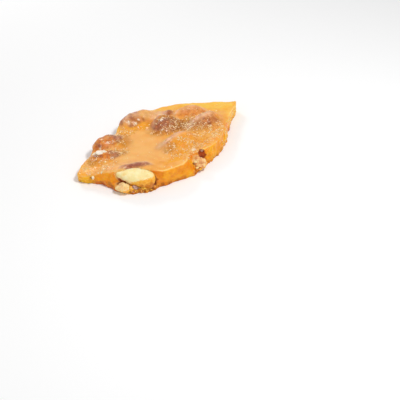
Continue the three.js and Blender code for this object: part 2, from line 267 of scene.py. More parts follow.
def break_outline():
    """Points along the foot of the break, their outward normals, and the lean at each."""
    points, leans = [], []
    for i, (x, y, lean, bow) in enumerate(BREAK_CORNERS):
        nx, ny, next_lean, _ = BREAK_CORNERS[(i + 1) % len(BREAK_CORNERS)]
        length = math.hypot(nx - x, ny - y)
        out = np.array([ny - y, x - nx]) / length
        steps = max(1, round(length / OUTLINE_STEP))
        for t in np.arange(steps) / steps:
            straight = np.array([x + (nx - x) * t, y + (ny - y) * t])
            points.append(straight + out * bow * 4 * t * (1 - t))
            leans.append(lean + (next_lean - lean) * t)
    points, leans = np.array(points), np.array(leans)
    # the corner at the far right stays sharp
    keep = ease(30, 33, points[:, 0]) * ease(26, 30, points[:, 1])
    for _ in range(3):
        near = (np.roll(points, 1, 0) + np.roll(points, -1, 0)) / 2
        points = points + 0.5 * (1 - keep)[:, None] * (near - points)
        leans = leans + 0.5 * ((np.roll(leans, 1) + np.roll(leans, -1)) / 2 - leans)
    way = np.roll(points, -1, 0) - np.roll(points, 1, 0)
    outs = np.stack([way[:, 1], -way[:, 0]], 1)
    return points, outs / np.linalg.norm(outs, axis=1, keepdims=True), leans


# ---- Noise ----

TABLE = 4096


def table_row(cell):
    """Which row of a random table a cell uses."""
    return (cell[:, 0] * 73856093 ^ cell[:, 1] * 19349663 ^ cell[:, 2] * 83492791) % TABLE


def noise(p, size, seed, stretch=(1, 1, 1)):
    """Gradient noise, about -1 to 1, at points p (n, 3), with features of about that size."""
    table = np.random.default_rng(seed).normal(size=(TABLE, 3))
    table /= np.linalg.norm(table, axis=1, keepdims=True)
    q = p / (size * np.array(stretch)) + 100.0
    cell = np.floor(q).astype(np.int64)
    f = q - cell
    fade = f * f * f * (f * (f * 6 - 15) + 10)
    total = 0
    for corner in np.ndindex(2, 2, 2):
        value = ((f - corner) * table[table_row(cell + corner)]).sum(1)
        weight = np.prod(np.where(corner, fade, 1 - fade), axis=1)
        total = total + value * weight
    return total * 1.6


def cells(p, size, seed, keep=1):
    """Distance in cell sizes to the nearest of one random seed per cell; keep is the share used."""
    table = np.random.default_rng(seed).random((TABLE, 4))
    far = 9.0
    q = p / size + 100.0
    cell = np.floor(q).astype(np.int64)
    best = np.full(len(p), far)
    for corner in np.ndindex(3, 3, 3):
        c = cell + np.array(corner) - 1
        seedling = table[table_row(c)]
        away = np.linalg.norm(c + seedling[:, :3] - q, axis=1)
        best = np.minimum(best, np.where(seedling[:, 3] < keep, away, far))
    return best


# ---- Distances ----


def smooth_min(a, b, k):
    h = np.maximum(k - np.abs(a - b), 0) / k
    return np.minimum(a, b) - h * h * k * 0.25


def smooth_max(a, b, k):
    return -smooth_min(-a, -b, k)


def nut_turn(heading, dip):
    return np.array(Euler((0, math.radians(dip), math.radians(heading)), "XYZ").to_matrix())


def inside_nut(p, middle, size, heading, dip):
    """How deep points lie inside a nut, negative outside."""
    local = (p - np.array(middle)) @ nut_turn(heading, dip)
    half = np.array(size) / 2
    along = np.clip(local[:, 0] / half[0], -1.2, 1.2)
    girth = 1 + 0.13 * along
    u = np.stack([local[:, axis] / (half[axis] * (girth if axis else 1)) for axis in range(3)], 1)
    q = np.linalg.norm(u, axis=1) + 1e-9
    slope = np.linalg.norm(u / half, axis=1) / q
    return (1 - q) / slope


def inside_polygon(x, y, corners):
    """Distance to a closed polygon's edge, positive inside."""
    best = np.full(x.shape, 1e9)
    inside = np.zeros(x.shape, bool)
    for (ax, ay), (bx, by) in zip(corners, np.roll(corners, -1, 0)):
        wx, wy = bx - ax, by - ay
        t = np.clip(((x - ax) * wx + (y - ay) * wy) / (wx * wx + wy * wy), 0, 1)
        best = np.minimum(best, np.hypot(x - ax - t * wx, y - ay - t * wy))
        if wy != 0:
            inside ^= ((ay > y) != (by > y)) & (x < wx * (y - ay) / wy + ax)
    return np.where(inside, best, -best)


# ---- Meshes from a field ----


def moved(index, others, shift, shape):
    """Grid places moved back along two axes, and which of them are still on the grid."""
    c = np.array(index)
    c[others] -= np.array(shift)[:, None]
    return c, ((c >= 0) & (c < np.array(shape)[:, None])).all(0)


def surface_nets(field, origin, step):
    """Vertices and quads of the field's zero surface, facing out of its positive side."""
    shape = [n - 1 for n in field.shape]
    sums, count = np.zeros((*shape, 3), np.float32), np.zeros(shape, np.float32)
    cut = {}
    for axis in range(3):
        places = np.arange(field.shape[axis])
        a, b = field.take(places[:-1], axis), field.take(places[1:], axis)
        crossing = (a > 0) != (b > 0)
        cut[axis] = (crossing, a > 0)
        i, j, k = np.nonzero(crossing)
        va, vb = a[i, j, k], b[i, j, k]
        t = va / (va - vb)
        at = np.stack([i, j, k], 1).astype(np.float32)
        at[:, axis] += t
        others = [o for o in range(3) if o != axis]
        for shift in np.ndindex(2, 2):
            c, ok = moved([i, j, k], others, shift, shape)
            c = tuple(c[:, ok])
            for d in range(3):
                np.add.at(sums[..., d], c, at[ok, d])
            np.add.at(count, c, 1)
    used = count > 0
    number = np.full(shape, -1, np.int64)
    number[used] = np.arange(used.sum())
    vertices = sums[used] / count[used][:, None] * step + np.array(origin)
    quads = []
    for axis in range(3):
        crossing, positive = cut[axis]
        i, j, k = np.nonzero(crossing)
        others = [(axis + 1) % 3, (axis + 2) % 3]
        ring = []
        ok = np.ones(len(i), bool)
        for shift in ((0, 0), (1, 0), (1, 1), (0, 1)):
            c, inside = moved([i, j, k], others, shift, shape)
            ok &= inside
            ring.append(number[tuple(np.where(inside, c, 0))])
        quad = np.stack(ring, 1)
        flip = ~positive[i, j, k]
        quad[flip] = quad[flip][:, ::-1]
        quads.append(quad[ok])
    return vertices, np.concatenate(quads)


def largest_piece(vertices, quads):
    """The mesh without loose scraps."""
    label = np.arange(len(vertices))
    while True:
        low = label[quads].min(1)
        new = label.copy()
        for side in range(4):
            np.minimum.at(new, quads[:, side], low)
        new = new[new]
        if (new == label).all():
            break
        label = new
    keep = label == np.bincount(label).argmax()
    number = np.cumsum(keep) - 1
    return vertices[keep], number[quads[keep[quads[:, 0]]]]


def sample(field, origin, step, p):
    """The field at points between those of its grid."""
    q = (p - np.array(origin)) / step
    q = np.clip(q, 0, np.array(field.shape) - 1.001)
    c = np.floor(q).astype(np.int64)
    f = q - c
    total = 0
    for d in np.ndindex(2, 2, 2):
        w = np.prod(np.where(d, f, 1 - f), axis=1)
        total = total + w * field[c[:, 0] + d[0], c[:, 1] + d[1], c[:, 2] + d[2]]
    return total


def add_object(name, data):
    made = bpy.data.objects.new(name, data)
    bpy.context.scene.collection.objects.link(made)
    return made


def make_object(name, vertices, faces, material, smooth=True, attributes=None):
    """A mesh object from millimetre arrays, with float attributes on its points."""
    mesh = bpy.data.meshes.new(name)
    mesh.from_pydata(np.asarray(vertices) * MM, [], faces, shade_flat=not smooth)
    mesh.validate()
    for key, values in (attributes or {}).items():
        layer = mesh.attributes.new(key, "FLOAT", "POINT")
        layer.data.foreach_set("value", np.asarray(values, np.float32))
    mesh.materials.append(material)
    return add_object(name, mesh)


# ---- Materials ----


def linear(r, g, b):
    """A colour given in 0 to 255 as the screen shows it."""
    out = [((v / 255 + 0.055) / 1.055) ** 2.4 if v > 10 else v / 255 / 12.92 for v in (r, g, b)]
    return (*out, 1)


class Surface:
    """A material with one Principled shader; a source is a node's output, a number or a colour."""

    def __init__(self, name, **sockets):
        self.material = bpy.data.materials.new(name)
        self.material.use_nodes = True
        self.nodes = self.material.node_tree.nodes
        self.links = self.material.node_tree.links
        self.nodes.clear()
        out = self.nodes.new("ShaderNodeOutputMaterial")
        self.shader = self.nodes.new("ShaderNodeBsdfPrincipled")
        self.links.new(self.shader.outputs[0], out.inputs["Surface"])
        for key, value in sockets.items():
            self.shader.inputs[key.replace("_", " ")].default_value = value
        self.place = self.nodes.new("ShaderNodeTexCoord").outputs["Object"]

    def feed(self, socket, source):
        if isinstance(source, tuple):
            socket.default_value = linear(*source)
        elif isinstance(source, (int, float)):
            socket.default_value = source
        else:
            self.links.new(source, socket)

    def node(self, kind, **inputs):
        """Add a node and feed its sockets."""
        node = self.nodes.new("ShaderNode" + kind)
        for key, source in inputs.items():
            self.feed(node.inputs[key.replace("_", " ")], source)
        return node

    def give(self, name, source):
        """Feed one of the shader's own sockets."""
        self.feed(self.shader.inputs[name], source)

    def attribute(self, name):
        node = self.node("Attribute")
        node.attribute_name = name
        return node.outputs["Fac"]

    def noise(self, size, detail=2, rough=0.5, distort=0):
        scale = 1 / (size * MM)
        node = self.node("TexNoise", Vector=self.place, Scale=scale, Detail=detail,
                         Roughness=rough, Distortion=distort)
        return node.outputs["Fac"]

    def ramp(self, source, lo, hi, to_lo=0, to_hi=1):
        node = self.node("MapRange", Value=source, From_Min=lo, From_Max=hi, To_Min=to_lo,
                         To_Max=to_hi)
        node.interpolation_type = "SMOOTHSTEP"
        return node.outputs["Result"]

    def math(self, operation, a, b):
        node = self.node("Math")
        node.operation = operation
        self.feed(node.inputs[0], a)
        self.feed(node.inputs[1], b)
        return node.outputs[0]

    def times(self, a, b):
        return self.math("MULTIPLY", a, b)

    def mix(self, factor, a, b):
        node = self.node("Mix")
        node.data_type = "RGBA"
        self.feed(node.inputs[0], factor)
        self.feed(node.inputs[6], a)
        self.feed(node.inputs[7], b)
        return node.outputs[2]

    def over(self, base, *layers):
        """Lay (factor, colour) layers over a colour, one after another."""
        for factor, colour in layers:
            base = self.mix(factor, base, colour)
        return base

    def bump(self, *layers):
        """Fine relief from (height, depth in millimetres) layers."""
        normal = None
        for height, depth in layers:
            node = self.node("Bump", Distance=depth * MM, Height=height)
            if normal is not None:
                self.links.new(normal, node.inputs["Normal"])
            normal = node.outputs[0]
        self.links.new(normal, self.shader.inputs["Normal"])


def glowing(name, ior, specular, weight, reach, radius, **more):
    """A surface that light enters: how much of it, and how far in metres each colour goes."""
    return Surface(name, IOR=ior, Specular_IOR_Level=specular, Subsurface_Weight=weight,
                   Subsurface_Scale=reach, Subsurface_Radius=radius, **more)


def candy_material():
    s = glowing("candy", 1.5, 0.16, 0.6, 0.0025, (1, 0.5, 0.2), Coat_Roughness=0.08)
    wall, low, edge, pool, sugary, stained, clear, skin, orange, haze, bright, pale = (
        s.attribute(name)
        for name in "wall low edge pool sugary stained clear skin orange haze bright pale".split()
    )
    cloud = s.ramp(s.noise(5, 3), 0.38, 0.62)
    mottle = s.ramp(s.noise(1.9, 3, 0.6), 0.4, 0.6)
    grain = s.noise(0.8, 2, 0.6)
    light_grain = s.ramp(grain, 0.54, 0.66)
    dark_grain = s.ramp(grain, 0.48, 0.38)

    # the poured face, paler than the walls: partly its own duller tone, partly painted reflection
    # of the white sky
    top = s.over(
        s.mix(cloud, (234, 154, 62), (244, 178, 96)),
        (s.times(mottle, 0.3), (246, 188, 112)),
        (pool, s.mix(cloud, (240, 174, 96), (243, 182, 106))),
        (s.times(bright, 0.9), (253, 200, 82)),
        (s.times(sugary, s.times(light_grain, 0.7)), (250, 190, 78)),
        (s.times(sugary, s.times(dark_grain, 0.8)), (210, 120, 20)),
        # clearer amber, with the light through it painted as glow
        (s.times(clear, 0.85), (246, 166, 38)),
    )
    # the walls of the break, darker towards the foot and in blotches there: painted shade
    blotchy_shade = s.times(low, s.ramp(s.noise(1.5, 3, 0.6), 0.58, 0.66))
    rough = s.mix(light_grain, s.mix(mottle, (156, 80, 16), (224, 140, 40)), (244, 184, 84))
    side = s.over(
        s.mix(cloud, (230, 130, 6), (247, 160, 14)),
        (s.times(mottle, 0.35), (252, 178, 40)),
        (low, s.mix(mottle, (196, 90, 8), (216, 118, 18))),
        # clearer amber, with the light through it painted as glow
        (s.times(clear, 0.75), s.mix(cloud, (244, 166, 24), (253, 194, 52))),
        (s.times(bright, 0.7), (255, 200, 40)),
        (s.times(blotchy_shade, 0.7), (166, 72, 8)),
        (s.attribute("crumbly"), rough),
    )
    # what lies under the face and on it
    stain = s.mix(light_grain, s.mix(mottle, (138, 74, 22), (170, 98, 36)), (202, 138, 62))
    violet = s.mix(mottle, (142, 82, 66), (188, 122, 90))
    warm = s.mix(mottle, (206, 108, 34), (238, 148, 58))
    cup_and_crack_shade = s.attribute("cup_and_crack_shade")
    # white highlights painted in small broken spots
    glint = s.times(s.attribute("glint"), s.ramp(s.noise(0.9, 2, 0.6), 0.44, 0.54))
    base = s.over(
        s.mix(wall, top, side),
        # a pale highlight painted along the rim
        (edge, (253, 212, 134)),
        (s.times(pale, 0.8), s.mix(mottle, (236, 176, 96), (250, 208, 138))),
        (s.times(stained, s.ramp(mottle, 0, 1, 0.75, 1)), stain),
        (skin, s.mix(orange, violet, warm)),
        # a pale pinkish sheen painted over the face
        (haze, s.mix(mottle, (224, 172, 130), (240, 196, 158))),
        # dark brown of the skin cup, and painted shade in the cracks by the kernels
        (cup_and_crack_shade, s.mix(mottle, (104, 24, 0), (178, 78, 22))),
        (s.attribute("spot"), (126, 46, 8)),
        (s.times(s.attribute("pit"), 0.8), (160, 84, 36)),
        (glint, (255, 240, 220)),
    )
    s.give("Base Color", base)
    glossy = s.math("MAXIMUM", s.math("MAXIMUM", wall, skin), s.math("MAXIMUM", sugary, clear))
    glossy = s.times(glossy, s.ramp(cup_and_crack_shade, 0, 1, 1, 0))
    s.give("Roughness", s.math("ADD", s.ramp(glossy, 0, 1, 0.42, 0.14), s.times(grain, 0.12)))
    shine = s.math("MAXIMUM", s.times(skin, 0.35), s.times(glossy, 0.2))
    s.give("Coat Weight", s.times(shine, s.ramp(haze, 0, 0.6, 1, 0.35)))
    grit = s.times(grain, s.math("ADD", s.times(sugary, 0.8), 0.2))
    s.bump((grit, 0.3), (s.noise(0.3, 2), 0.03))
    return s.material


def skin_material():
    s = glowing("nut_skin", 1.48, 0.25, 0.1, 0.001, (1, 0.4, 0.2))
    veins = s.ramp(s.noise(1.1, 4, 0.62, 0.8), 0.35, 0.65)
    glaze = s.ramp(s.noise(2.4, 3, 0.6), 0.42, 0.68)
    base = s.mix(veins, (150, 84, 58), (190, 114, 76))
    s.give("Base Color", s.mix(glaze, base, (208, 128, 72)))
    s.give("Roughness", s.ramp(veins, 0, 1, 0.14, 0.3))
    s.bump((s.noise(0.7, 3, 0.6), 0.08))
    return s.material


def kernel_material():
    s = glowing("nut_kernel", 1.45, 0.3, 0.3, 0.0015, (1, 0.7, 0.4))
    roast_and_shade = s.attribute("roast_and_shade")
    cloud = s.ramp(s.noise(2.2, 3), 0.35, 0.7)
    base = s.mix(cloud, (250, 226, 158), (254, 238, 186))
    base = s.mix(s.ramp(s.noise(1.9, 4, 0.6), 0.52, 0.68, 0, 0.6), base, (246, 204, 116))
    beige = s.mix(s.ramp(s.noise(1.6, 4, 0.6), 0.35, 0.65), (226, 154, 96), (253, 216, 152))
    base = s.mix(s.attribute("tan"), base, beige)
    base = s.mix(s.attribute("white"), base, (255, 240, 222))
    # kernels browner on the lower side and at the ends: partly roast, partly painted shade
    ragged = s.math("ADD", roast_and_shade, s.ramp(s.noise(1.4, 4, 0.65), 0.3, 0.7, -0.45, 0.45))
    edge = s.ramp(ragged, 0.2, 0.9)
    patchy = s.math("ADD", roast_and_shade, s.ramp(s.noise(1.3, 3, 0.6), 0.3, 0.7, -0.8, 0.8))
    roast_and_shade_colour = s.mix(s.ramp(s.noise(1.4, 4, 0.6), 0.3, 0.75), (240, 158, 44), (252, 196, 80))
    roast_and_shade_colour = s.mix(s.ramp(patchy, 2.2, 3.6), roast_and_shade_colour, (212, 126, 34))
    s.give("Base Color", s.mix(edge, base, roast_and_shade_colour))
    s.give("Roughness", s.ramp(edge, 0, 1, 0.45, 0.25))
    s.bump((s.noise(0.8, 3, 0.6), 0.06), (s.noise(0.25, 2), 0.02))
    return s.material


def sugar_material():
    s = Surface("sugar_grain", IOR=1.5)
    s.give("Base Color", s.mix(s.attribute("tint"), (234, 158, 56), (255, 231, 184)))
    s.give("Roughness", s.ramp(s.noise(0.5), 0.3, 0.7, 0.15, 0.4))
    return s.material


def scrap_material():
    s = Surface("skin_scrap", IOR=1.45, Specular_IOR_Level=0.3)
    veins = s.ramp(s.noise(0.8, 3, 0.6), 0.38, 0.62)
    s.give("Base Color", s.mix(veins, (150, 100, 84), (214, 178, 160)))
    s.give("Roughness", s.ramp(veins, 0, 1, 0.4, 0.6))
    s.bump((s.noise(0.5, 2), 0.05))
    return s.material


# ---- The candy ----

# The field's grid, and the heights of the slices from which the walls are blended.
STEP = 0.36
LOW = np.array([-37.6, -36.4, -0.9])
HIGH = np.array([37.6, 36.6, 11.4])
SLICE_LOW, SLICE_HIGH, SLICE_STEP = -0.6, 9.7, 0.8
# How near the surface the relief is worked out, and how near a nut the candy follows it.
RELIEF_REACH, NUT_REACH = 3, 3


def candy_field():
    """The grid's axes, the plain body's field on it, and the distance in from the walls."""
    axes = [np.arange(lo, hi, STEP) for lo, hi in zip(LOW, HIGH)]
    x, y = np.meshgrid(axes[0], axes[1], indexing="ij")
    at, out, lean = break_outline()
    rim = at + out * lean[:, None]
    rim_height = top_at(rim[:, 0], rim[:, 1])
    heights = np.arange(SLICE_LOW, SLICE_HIGH, SLICE_STEP)
    slices = []
    for z in heights:
        share = np.clip(z / rim_height, 0, 1) ** LEAN_CURVE
        slices.append(inside_polygon(x, y, at + out * (lean * share)[:, None]))
    top = top_at(x, y)
    # the rim is rounder in some places than in others
    plan = np.stack([x.ravel(), y.ravel(), 0 * x.ravel()], 1)
    wander = noise(plan, 4.5, 70).reshape(x.shape)
    soft = 1.0 + 0.5 * wander + 0.7 * ease(-16, -24, x) - 0.25 * ease(10, 24, y)
    soft = np.clip(soft, 0.4, 2.2)
    field = np.empty([len(a) for a in axes], np.float32)
    walls = np.empty_like(field)
    for n, z in enumerate(axes[2]):
        g = np.clip((z - heights[0]) / SLICE_STEP, 0, len(heights) - 1.001)
        lo = int(g)
        wall = slices[lo] * (1 - (g - lo)) + slices[lo + 1] * (g - lo)
        walls[:, :, n] = wall
        field[:, :, n] = smooth_min(wall, top - z, soft)
    return axes, field, walls


def build_candy(material):
    axes, field, walls = candy_field()
    near = (np.abs(field) < RELIEF_REACH) | ((field > 0) & (axes[2] < 1))
    i, j, k = np.nonzero(near)
    p = np.stack([axes[0][i], axes[1][j], axes[2][k]], 1)
    f = field[near].astype(np.float64)
    cover_nuts(p, f)
    add_relief(p, f, walls[near].astype(np.float64))
    f = bare_kernels(p, f)
    field[near] = smooth_min(f, p[:, 2], 0.35)
    vertices, quads = largest_piece(*surface_nets(field, LOW, STEP))
    vertices = settle(field, vertices)
    attributes = candy_attributes(vertices, sample(walls, LOW, STEP, vertices))
    candy = make_object("candy", vertices, quads, material, attributes=attributes)
    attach(candy, "root")
    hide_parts("candy_slab")
    return candy


def cover_nuts(p, f):
    """Lay each nut's film of candy over it."""
    for n, (*body, _, film, wander, _, _, _, _, _) in enumerate(NUTS.values()):
        d = inside_nut(p, *body)
        close = d > -NUT_REACH
        cover = film + wander * noise(p[close], 2.6, 40 + n)
        f[close] = smooth_max(f[close], d[close] + cover, 0.7)


def add_relief(p, f, wall):
    """The relief of the poured face, of the break and of the foot."""
    x, y, z = p.T
    side = ease(1.6, 0.2, wall) * ease(0.2, 1.6, top_at(x, y) - z)
    upper = (1 - side) * ease(2, 4, z)
    swell = 0.10 * noise(p, 6.5, 1) + 0.03 * noise(p, 2.1, 2) + 0.01 * noise(p, 0.95, 3)
    folds = 0.22 * noise(p @ nut_turn(32, 0), 2.4, 13, (2, 1, 1)) + 0.16 * noise(p, 1.1, 14)
    crumb = 0.30 * (0.45 - cells(p, 1.3, 15, 0.7).clip(0, 0.9))
    f += upper * (swell + patches(p, SUGARY, 0.35) * (folds + crumb))
    f -= upper * 0.45 * patches(p, VALLEYS, 0.6)
    for *patch, height in LIFTS:
        f += upper * height * patches(p, [(*patch, 1)], 0.7)
    f -= upper * 0.6 * patches(p, PITS, 0.5)
    for line, breadth, *_ in CRESTS:
        ends, right = crest_at(p, line)
        rounded = ease(-0.9, 0.1, right) * ease(breadth + 1.5, 0.6, right)
        f += upper * 0.3 * ends * rounded
    ripple = 0.34 * noise(p, 3.4, 4, (1, 1, 1.6))
    ledge = 0.55 * np.abs(noise(p, 2.3, 5, (1.4, 1.4, 0.7)))
    dished = 0.9 * (cells(p, 3.6, 18) - 0.55)
    f += side * (ripple - ledge + dished + 0.18 * noise(p, 0.95, 6) + 0.35 * noise(p, 7, 24))
    # the wall and the face are more uneven at the right
    right_wall = ease(15, 21, x) * ease(24, 18, y) * ease(3.5, 1.5, wall)
    f += 0.35 * right_wall * noise(p, 3, 19)
    f += upper * ease(-2, 2, x) * (0.10 * noise(p, 1.7, 21) + 0.06 * noise(p, 0.9, 22))
    # bubbles in the break and under the foot, and the crumbly ground below the bare kernel
    more = side * (0.25 + 0.75 * ease(3, 0.5, z))
    f -= more * 0.5 * ease(0.42, 0.15, cells(p, 1.5, 7, 0.5))
    under = (1 - side) * ease(1.2, 0.2, z)
    f -= under * 0.3 * ease(0.35, 0.1, cells(p, 2.2, 8, 0.35))
    holes = 0.7 * ease(0.45, 0.2, cells(p, 1.7, 17, 0.6))
    f += crumbly_at(p) * (0.5 + 0.6 * noise(p, 1.9, 16) - holes)


def bare_kernels(p, f):
    """Run the candy over the kernels' edges, and open its cracks and the hollow scrap of skin."""
    crack = patches(p, CRACKS, 0.3)
    for n, (*body, _, film, wander) in enumerate(KERNELS.values()):
        d = inside_nut(p, *body)
        close = d > -NUT_REACH
        cover = film + wander * noise(p[close], 1.4, 62 + n)
        f[close] = smooth_max(f[close], d[close] + cover, 0.15)
        opened = smooth_min(f, np.abs(d + 0.1) + 0.3 - 0.48 * crack, 0.2)
        f = np.where(crack > 0.05, opened, f)
    return f - 0.9 * ease(-0.9, 0.5, inside_nut(p, *SKIN_CUP) + 0.7 * noise(p, 1.5, 61))


def settle(field, vertices):
    """Move the points onto the field's surface, and none of them below the foot."""
    for _ in range(2):
        e = 0.5 * STEP
        rise = [
            sample(field, LOW, STEP, vertices + way) - sample(field, LOW, STEP, vertices - way)
            for way in np.eye(3) * e
        ]
        slope = np.stack(rise, 1) / (2 * e)
        value = sample(field, LOW, STEP, vertices)
        move = -value[:, None] * slope / np.maximum((slope**2).sum(1), 0.2)[:, None]
        vertices = vertices + np.clip(move, -0.25 * STEP, 0.25 * STEP)
    vertices[:, 2] = np.maximum(vertices[:, 2], 0)
    return vertices


def patches(p, table, edge):
    """The strongest of a table's soft-edged, slightly ragged patches at each point."""
    wander = 0.22 * noise(p, 3, 30) + 0.10 * noise(p, 1.2, 31)
    total = np.zeros(len(p))
    for x, y, long, wide, heading, strength in table:
        along, across = turned(p[:, 0] - x, p[:, 1] - y, heading)
        away = np.hypot(along / long, across / wide) + wander
        total = np.maximum(total, strength * ease(1 + edge, 1 - edge, away))
    return total


def beside(p, line):
    """How far along a line each point lies, 0 to 1, and how far to its right."""
    line = np.array(line)
    ways = np.diff(line, axis=0)
    runs = np.concatenate([[0], np.cumsum(np.linalg.norm(ways, axis=1))])
    near, along, right = np.full(len(p), 1e9), np.zeros(len(p)), np.zeros(len(p))
    for (x, y), (wx, wy), run in zip(line, ways, runs):
        dx, dy = p[:, 0] - x, p[:, 1] - y
        t = np.clip((dx * wx + dy * wy) / (wx * wx + wy * wy), 0, 1)
        gap = np.hypot(dx - t * wx, dy - t * wy)
        closer = gap < near
        near = np.where(closer, gap, near)
        along = np.where(closer, run + t * math.hypot(wx, wy), along)
        right = np.where(closer, np.copysign(gap, dx * wy - dy * wx), right)
    return along / runs[-1], right


def crest_at(p, line):
    """The fade at a crest's ends, and the distance to the right of it."""
    along, right = beside(p, line)
    return ease(0, 0.22, along) * ease(1, 0.78, along), right + 0.3 * noise(p, 1.6, 35)


def crumbly_at(p):
    """The ground below the bare kernel, where the break is ragged."""
    x, y, z = p.T
    return ease(-17.5, -14.5, x) * ease(0.5, -2.5, x) * ease(-27.5, -29.5, y) * ease(4.6, 3.4, z)


def spots_at(p):
    wander = 0.35 * noise(p, 1.2, 37)
    total = np.zeros(len(p))
    for x, y, z, radius, strength in SPOTS:
        away = np.linalg.norm(p - (x, y, z), axis=1) / radius + wander
        total = np.maximum(total, strength * ease(1.3, 0.6, away))
    return total


def pool_at(p):
    dx, dy = p[:, 0] - POOL_AT[0], p[:, 1] - POOL_AT[1]
    away = np.hypot(dx / POOL_REACH[0], dy / POOL_REACH[1])
    return ease(1.1, 0.6, away + 0.1 * noise(p, 5, 12))


def skins_seen(p):
    """How strongly the nuts' skins show, how warm they are, and the pinkish sheen painted on them.
    """
    skin, orange, haze = np.zeros((3, len(p)))
    x, y, z = p.T
    for n, (*body, _, film, _, strong, warm, dark_side, sheen_strength, spread) in enumerate(NUTS.values()):
        middle, size = body[:2]
        d = np.maximum(0, -inside_nut(p, *body))
        over = np.maximum(0, d - 0.7 * film)
        patchy = 0.85 + 0.35 * noise(p, 2.2, 20 + n)
        thin = strong * ease(spread, 0.2 * spread, over) * patchy
        # how far round to the dark side, in half breadths of the nut
        aside = turned(x - middle[0], y - middle[1], dark_side or 0)[0] / (size[1] / 2)
        dark = ease(0, 0.7, aside + 0.25 * noise(p, 2.5, 80 + n)) * (dark_side is not None)
        orange = np.where(thin > skin, warm * (1 - dark), orange)
        skin = np.maximum(skin, thin)
        band = ease(0.3, 0.6, aside) * ease(1.2, 0.9, aside)
        band *= np.exp(-((over / 0.5) ** 2))
        band *= 0.8 + 0.5 * noise(p, 1.6, 90 + n)
        haze = np.maximum(haze, sheen_strength * band)
    skin *= 1 - patches(p, COVERED, 0.5)
    upper = ease(5, 5.8, z)
    haze = np.maximum(haze, patches(p, SHEEN_PATCHES, 0.6) * upper)
    for line, breadth, dark, sheen_strength in CRESTS:
        ends, right = crest_at(p, line)
        band = dark * ends * upper * ease(-0.4, 0.1, right)
        band *= ease(1, 0.4, right / (breadth * (0.3 + 0.7 * ends)))
        orange = np.where(band > skin, 0.15, orange)
        skin = np.maximum(skin, band)
        haze = np.maximum(haze, sheen_strength * ends * upper * np.exp(-(((right + 0.1) / 0.8) ** 2)))
    skin[z < 0.05] = 0
    return skin, orange, haze


def kernels_seen(p):
    """How pale the candy is near bare kernels, and how brown in the cup and in the cracks (skin and
    painted shade).
    """
    pale = np.zeros(len(p))
    cup_and_crack_shade = ease(-0.8, 0, inside_nut(p, *SKIN_CUP) + 0.8 * noise(p, 1.4, 61))
    cracks = patches(p, CRACKS, 0.3)
    for row in KERNELS.values():
        d = inside_nut(p, *row[:4])
        pale = np.maximum(pale, ease(-1, -0.3, d))
        # the cracks by the kernels: skin left there and painted shade
        cup_and_crack_shade = np.maximum(cup_and_crack_shade, ease(-0.75, -0.35, d) * cracks)
    return pale, cup_and_crack_shade


def candy_attributes(p, from_wall):
    """What the candy's material reads at each point."""
    x, y, z = p.T
    past_rim = top_at(x, y) - z - from_wall + 0.3 * noise(p, 2, 32)
    wall = ease(-0.25, 0.45, past_rim) * ease(3.6, 2.2, from_wall)
    face = 1 - wall
    skin, orange, haze = skins_seen(p)
    pale, cup_and_crack_shade = kernels_seen(p)
    # a pale highlight painted along the rim, where the face turns into the wall
    edge = np.exp(-(((past_rim + 0.15) / 0.4) ** 2)) * ease(2.2, 1.2, from_wall)
    edge *= np.maximum(0.3 + 0.6 * noise(p, 4, 34), 0.95 * patches(p, RIM_LIGHTS, 0.5))
    return dict(
        wall=wall,
        # the walls darker towards the foot: painted shade
        low=ease(2.8, 0.4, z) * wall,
        edge=edge.clip(0, 1),
        pool=pool_at(p) * face,
        sugary=patches(p, SUGARY, 0.35) * face,
        stained=patches(p, STAINED, 0.5) * face,
        pit=patches(p, PITS, 0.6) * face,
        clear=patches(p, CLEAR_GLOW, 0.45),
        crumbly=crumbly_at(p),
        bright=patches(p, BRIGHT, 0.6),
        glint=patches(p, GLINTS, 0.4) * ease(4.5, 5.5, z),
        pale=pale * (1 - skin),
        skin=skin.clip(0, 1),
        orange=orange.clip(0, 1),
        haze=haze.clip(0, 1),
        cup_and_crack_shade=cup_and_crack_shade,
        spot=spots_at(p),
    )


# ---- The nuts ----

# How many points each kind of piece has round it and along it.
NUT_MESH, CHIP_MESH, GRAIN_MESH = (84, 52), (28, 18), (4, 3)


def ball(around, along):
    """Unit directions round the X axis, and their triangles."""
    v = np.linspace(0, math.pi, along + 1)
    u = np.arange(around) * 2 * math.pi / around
    ring = [(math.cos(t), math.sin(t) * math.cos(a), math.sin(t) * math.sin(a))
            for t in v[1:-1] for a in u]
    unit = np.vstack([[1, 0, 0], ring, [-1, 0, 0]])
    faces = []
    last = len(unit) - 1
    for a in range(around):
        b = (a + 1) % around
        faces.append((0, 1 + a, 1 + b))
        faces.append((last, last - around + b, last - around + a))
        for r in range(along - 2):
            p, q = 1 + r * around, 1 + (r + 1) * around
            faces.append((p + a, q + a, q + b))
            faces.append((p + a, q + b, p + b))
    return unit, np.array(faces)


def cut_reach(unit, cuts, sharp=12):
    """How far a ball still reaches in each direction once planes have cut it."""
    total = np.ones(len(unit))
    for way, reach in cuts:
        way = np.array(way) / np.linalg.norm(way)
        total = total + np.maximum(0, unit @ way / reach) ** sharp
    return total ** (-1 / sharp)


def kernel_points(unit, size, blunt):
    """A smooth kernel, fuller at one end and beaked at the other; blunt squares the full end."""
    t, s, z = unit.T
    squared = (1 - np.abs(t) ** 3.2) ** (1 / 3.2) / np.sqrt(np.maximum(1 - t * t, 1e-6))
    share = blunt * (ease(-0.2, 0.7, t) + 0.6 * ease(-0.3, -0.8, t))
    fuller = 1 + share * (np.minimum(squared, 1.5) - 1)
    s, z = s * fuller, z * fuller
    groove = 1 - 0.05 * np.exp(-((s / 0.2) ** 2)) * (1 - t * t)
    girth = (1 + 0.13 * t) * groove
    beak = 0.07 * np.exp(-(((t + 1) / 0.12) ** 2))
    half = np.array(size) / 2
    return np.stack([(t - beak) * half[0], s * girth * half[1], z * girth * half[2]], 1)


def place(local, middle, heading, dip):
    return local @ nut_turn(heading, dip).T + np.array(middle)


